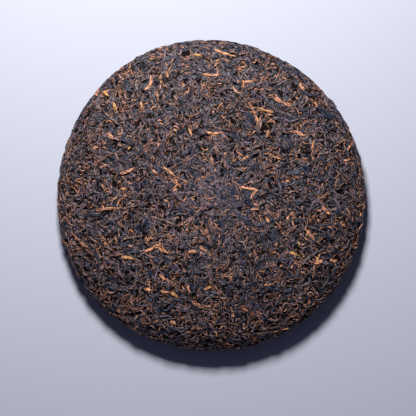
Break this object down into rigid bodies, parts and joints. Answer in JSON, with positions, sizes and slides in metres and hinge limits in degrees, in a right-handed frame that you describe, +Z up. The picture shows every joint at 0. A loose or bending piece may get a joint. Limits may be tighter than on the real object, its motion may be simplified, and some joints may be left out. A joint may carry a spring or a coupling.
{
  "type": "ripe pu-erh tea cake",
  "caption": "Round cake of dark twisted tea leaves pressed into a low dome, with a rough rounded rim, a flat ring to lie on and a hollow in the middle of its back.",
  "frame": {"origin": "middle of the underside, on the surface that the cake lies on", "axes": "+Z up, out of the middle of the domed face; +X to the right and +Y to the top of the face as shown"},
  "size_m": [0.2008, 0.2028, 0.0263],
  "materials": {
    "tea_leaf": "dry pressed tea leaf, nearly black brown, dull with a faint cool sheen"
  },
  "bodies": {
    "root": {"tea_cake": "tea_leaf"}
  },
  "joints": []
}
